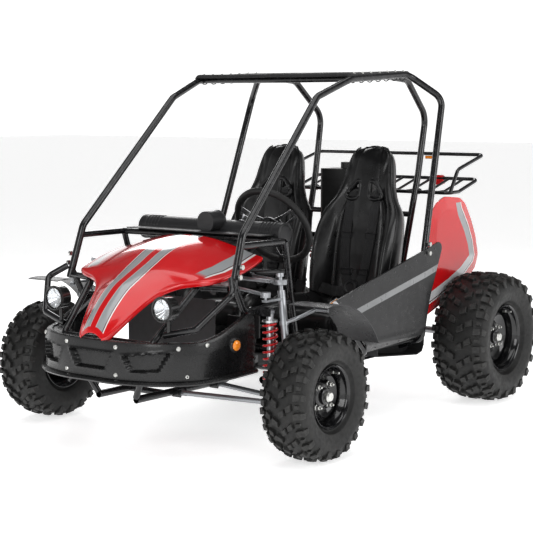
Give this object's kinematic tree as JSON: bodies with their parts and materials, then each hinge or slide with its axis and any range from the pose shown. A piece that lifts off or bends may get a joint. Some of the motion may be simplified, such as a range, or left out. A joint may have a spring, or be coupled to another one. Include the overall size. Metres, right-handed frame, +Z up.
{
  "type": "two-seat off-road kart",
  "caption": "Two-seat off-road kart: welded tube chassis with roll cage and cloth canopy, bucket seats, wishbone front suspension, rear swing arm, hood and rear rack.",
  "frame": {"origin": "on the ground, midway along the overall length and on the centre plane", "axes": "+Z up, the nose towards -Y, the driver's side towards +X"},
  "size_m": [1.491, 2.119, 1.4075],
  "materials": {
    "frame_black": "gloss powder coat",
    "bolt_steel": "zinc plated",
    "floor_black": "textured",
    "canopy_cloth": "woven and coated",
    "body_red": "gloss with two grey centre stripes",
    "panel_black": "satin",
    "mesh_black": "satin",
    "lamp_can": "gloss",
    "lamp_lens": "clear over a bright reflector",
    "amber_lens": "faceted",
    "tail_lens": "faceted",
    "dash_black": "satin",
    "seat_leather": "glossy, padded",
    "belt_webbing": "woven",
    "tank_black": "satin",
    "cap_black": "moulded",
    "damper_steel": "satin",
    "spring_red": "gloss",
    "wheel_grip": "moulded rim on a bare spoke plate",
    "column_black": "satin",
    "rack_steel": "satin",
    "arm_silver": "silver paint",
    "fender_black": "satin",
    "rim_black": "gloss",
    "tyre_rubber": "knobbly tread",
    "swing_black": "satin",
    "engine_grey": "cast",
    "muffler_black": "heat-proof matt",
    "axle_steel": "turned",
    "pedal_black": "satin"
  },
  "bodies": {
    "chassis": {"floor_frame": "frame_black", "front_frame": "frame_black", "roll_cage": "frame_black", "rear_frame": "frame_black", "side_guards": "frame_black", "frame_bolts": "bolt_steel", "floor_pan": "floor_black", "canopy": "canopy_cloth", "hood": "body_red", "fascia": "panel_black", "grilles": "mesh_black", "headlight_cans": "lamp_can", "headlight_lenses": "lamp_lens", "amber_reflectors": "amber_lens", "tail_lights": "tail_lens", "dash": "dash_black", "gauge_pod": "dash_black", "side_panels": "panel_black", "rear_panels": "body_red", "seat_left": "seat_leather", "seat_right": "seat_leather", "harness_belts": "belt_webbing", "fuel_tank": "tank_black", "rear_rack": "frame_black", "damper_bodies": "damper_steel", "front_spring_left": "spring_red", "front_spring_right": "spring_red", "rear_springs": "spring_red"},
    "steering": {"steering_wheel": "wheel_grip", "steering_column": "column_black"},
    "rack": {"steering_rack": "rack_steel"},
    "rear_swing": {"swing_arm": "swing_black", "engine": "engine_grey", "muffler": "muffler_black"},
    "axle_and_wheels": {"rear_axle": "axle_steel", "rear_rims": "rim_black", "rear_tyres": "tyre_rubber"},
    "rear_damper": {"rear_damper_rods": "damper_steel"},
    "brake": {"brake_pedal": "pedal_black"},
    "throttle": {"throttle_pedal": "pedal_black"},
    "cap": {"fuel_cap": "cap_black"},
    "lower_arm_left": {"lower_arm_left": "arm_silver"},
    "upper_arm_left": {"upper_arm_left": "arm_silver"},
    "kingpin_left": {"kingpin_left": "arm_silver"},
    "knuckle_left": {"knuckle_left": "arm_silver", "fender_left": "fender_black"},
    "front_wheel_left": {"front_rim_left": "rim_black", "front_tyre_left": "tyre_rubber"},
    "tie_rod_left": {"tie_rod_left": "arm_silver"},
    "front_damper_left": {"front_damper_rod_left": "damper_steel"},
    "lower_arm_right": {"lower_arm_right": "arm_silver"},
    "upper_arm_right": {"upper_arm_right": "arm_silver"},
    "kingpin_right": {"kingpin_right": "arm_silver"},
    "knuckle_right": {"knuckle_right": "arm_silver", "fender_right": "fender_black"},
    "front_wheel_right": {"front_rim_right": "rim_black", "front_tyre_right": "tyre_rubber"},
    "tie_rod_right": {"tie_rod_right": "arm_silver"},
    "front_damper_right": {"front_damper_rod_right": "damper_steel"}
  },
  "joints": [
    {"name": "steering_turn", "type": "hinge", "parent": "chassis", "child": "steering", "pos_m": [0.233, -0.2615, 0.8], "axis": [0, 0.866, 0.5], "range_deg": [-135, 135]},
    {"name": "rack_slide", "type": "slide", "parent": "chassis", "child": "rack", "axis": [1, 0, 0], "range_m": [-0.0355, 0.0355]},
    {"name": "front_travel_left", "type": "hinge", "parent": "chassis", "child": "lower_arm_left", "pos_m": [0.12, -0.5765, 0.2], "axis": [0, -1, 0], "range_deg": [-2.5, 4.5], "stiffness_Nm_per_rad": 3000, "springref_deg": -4.87},
    {"name": "kingpin_lean_left", "type": "hinge", "parent": "lower_arm_left", "child": "kingpin_left", "pos_m": [0.545, -0.5765, 0.195], "axis": [0, -1, 0], "range_deg": [-4.5, 2.5]},
    {"name": "upper_arm_turn_left", "type": "hinge", "parent": "chassis", "child": "upper_arm_left", "pos_m": [0.3, -0.5305, 0.632], "axis": [0, -1, 0], "range_deg": [-6.6, 11.8]},
    {"name": "tie_rod_turn_left", "type": "hinge", "parent": "rack", "child": "tie_rod_left", "pos_m": [0.3, -0.6365, 0.611], "axis": [0, -1, 0], "range_deg": [-6.2, 11.1]},
    {"name": "wheel_steer_left", "type": "hinge", "parent": "kingpin_left", "child": "knuckle_left", "pos_m": [0.545, -0.5765, 0.195], "axis": [-0.1863, 0.1045, 0.9769], "range_deg": [-21.7, 21.7]},
    {"name": "front_wheel_spin_left", "type": "hinge", "parent": "knuckle_left", "child": "front_wheel_left", "pos_m": [0.653, -0.5765, 0.2375], "axis": [1, 0, 0], "continuous": true},
    {"name": "front_damper_slide_left", "type": "slide", "parent": "chassis", "child": "front_damper_left", "axis": [-0.0132, 0, 0.9999], "range_m": [-0.0148, 0.0266], "deforming": ["front_spring_left"]},
    {"name": "front_travel_right", "type": "hinge", "parent": "chassis", "child": "lower_arm_right", "pos_m": [-0.12, -0.5765, 0.2], "axis": [0, 1, 0], "range_deg": [-2.5, 4.5], "stiffness_Nm_per_rad": 3000, "springref_deg": -4.87},
    {"name": "kingpin_lean_right", "type": "hinge", "parent": "lower_arm_right", "child": "kingpin_right", "pos_m": [-0.545, -0.5765, 0.195], "axis": [0, 1, 0], "range_deg": [-4.5, 2.5]},
    {"name": "upper_arm_turn_right", "type": "hinge", "parent": "chassis", "child": "upper_arm_right", "pos_m": [-0.3, -0.5305, 0.632], "axis": [0, 1, 0], "range_deg": [-6.6, 11.8]},
    {"name": "tie_rod_turn_right", "type": "hinge", "parent": "rack", "child": "tie_rod_right", "pos_m": [-0.3, -0.6365, 0.611], "axis": [0, 1, 0], "range_deg": [-6.2, 11.1]},
    {"name": "wheel_steer_right", "type": "hinge", "parent": "kingpin_right", "child": "knuckle_right", "pos_m": [-0.545, -0.5765, 0.195], "axis": [0.1863, 0.1045, 0.9769], "range_deg": [-21.7, 21.7]},
    {"name": "front_wheel_spin_right", "type": "hinge", "parent": "knuckle_right", "child": "front_wheel_right", "pos_m": [-0.653, -0.5765, 0.2375], "axis": [1, 0, 0], "continuous": true},
    {"name": "front_damper_slide_right", "type": "slide", "parent": "chassis", "child": "front_damper_right", "axis": [0.0132, 0, 0.9999], "range_m": [-0.0148, 0.0266], "deforming": ["front_spring_right"]},
    {"name": "rear_travel", "type": "hinge", "parent": "chassis", "child": "rear_swing", "pos_m": [0, 0.4235, 0.3], "axis": [1, 0, 0], "range_deg": [-3.5, 4.5], "stiffness_Nm_per_rad": 8000, "springref_deg": -3.36},
    {"name": "rear_axle_spin", "type": "hinge", "parent": "rear_swing", "child": "axle_and_wheels", "pos_m": [0, 0.7835, 0.276], "axis": [1, 0, 0], "continuous": true},
    {"name": "rear_damper_slide", "type": "slide", "parent": "chassis", "child": "rear_damper", "axis": [0, -0.2282, 0.9736], "range_m": [-0.0186, 0.0237], "deforming": ["rear_springs"]},
    {"name": "brake_press", "type": "hinge", "parent": "chassis", "child": "brake", "pos_m": [0.185, -0.4665, 0.318], "axis": [1, 0, 0], "range_deg": [0, 20], "stiffness_Nm_per_rad": 6, "springref_deg": -20.05},
    {"name": "throttle_press", "type": "hinge", "parent": "chassis", "child": "throttle", "pos_m": [0.285, -0.4665, 0.318], "axis": [1, 0, 0], "range_deg": [0, 20], "stiffness_Nm_per_rad": 4, "springref_deg": -20.05},
    {"name": "cap_turn", "type": "hinge", "parent": "chassis", "child": "cap", "pos_m": [0, 0.6135, 1], "axis": [0, 0, 1], "range_deg": [0, 90]}
  ],
  "couplings": [
    {"joint": "rack_slide", "follows": "steering_turn", "m_per_rad": 0.015},
    {"joint": "kingpin_lean_left", "follows": "front_travel_left", "ratio": -1},
    {"joint": "upper_arm_turn_left", "follows": "front_travel_left", "ratio": 2.607},
    {"joint": "tie_rod_turn_left", "follows": "front_travel_left", "ratio": 2.439},
    {"joint": "wheel_steer_left", "follows": "steering_turn", "ratio": 0.16},
    {"joint": "front_damper_slide_left", "follows": "front_travel_left", "m_per_rad": 0.334},
    {"joint": "kingpin_lean_right", "follows": "front_travel_right", "ratio": -1},
    {"joint": "upper_arm_turn_right", "follows": "front_travel_right", "ratio": 2.607},
    {"joint": "tie_rod_turn_right", "follows": "front_travel_right", "ratio": 2.439},
    {"joint": "wheel_steer_right", "follows": "steering_turn", "ratio": 0.16},
    {"joint": "front_damper_slide_right", "follows": "front_travel_right", "m_per_rad": 0.334},
    {"joint": "rear_damper_slide", "follows": "rear_travel", "m_per_rad": 0.3}
  ]
}
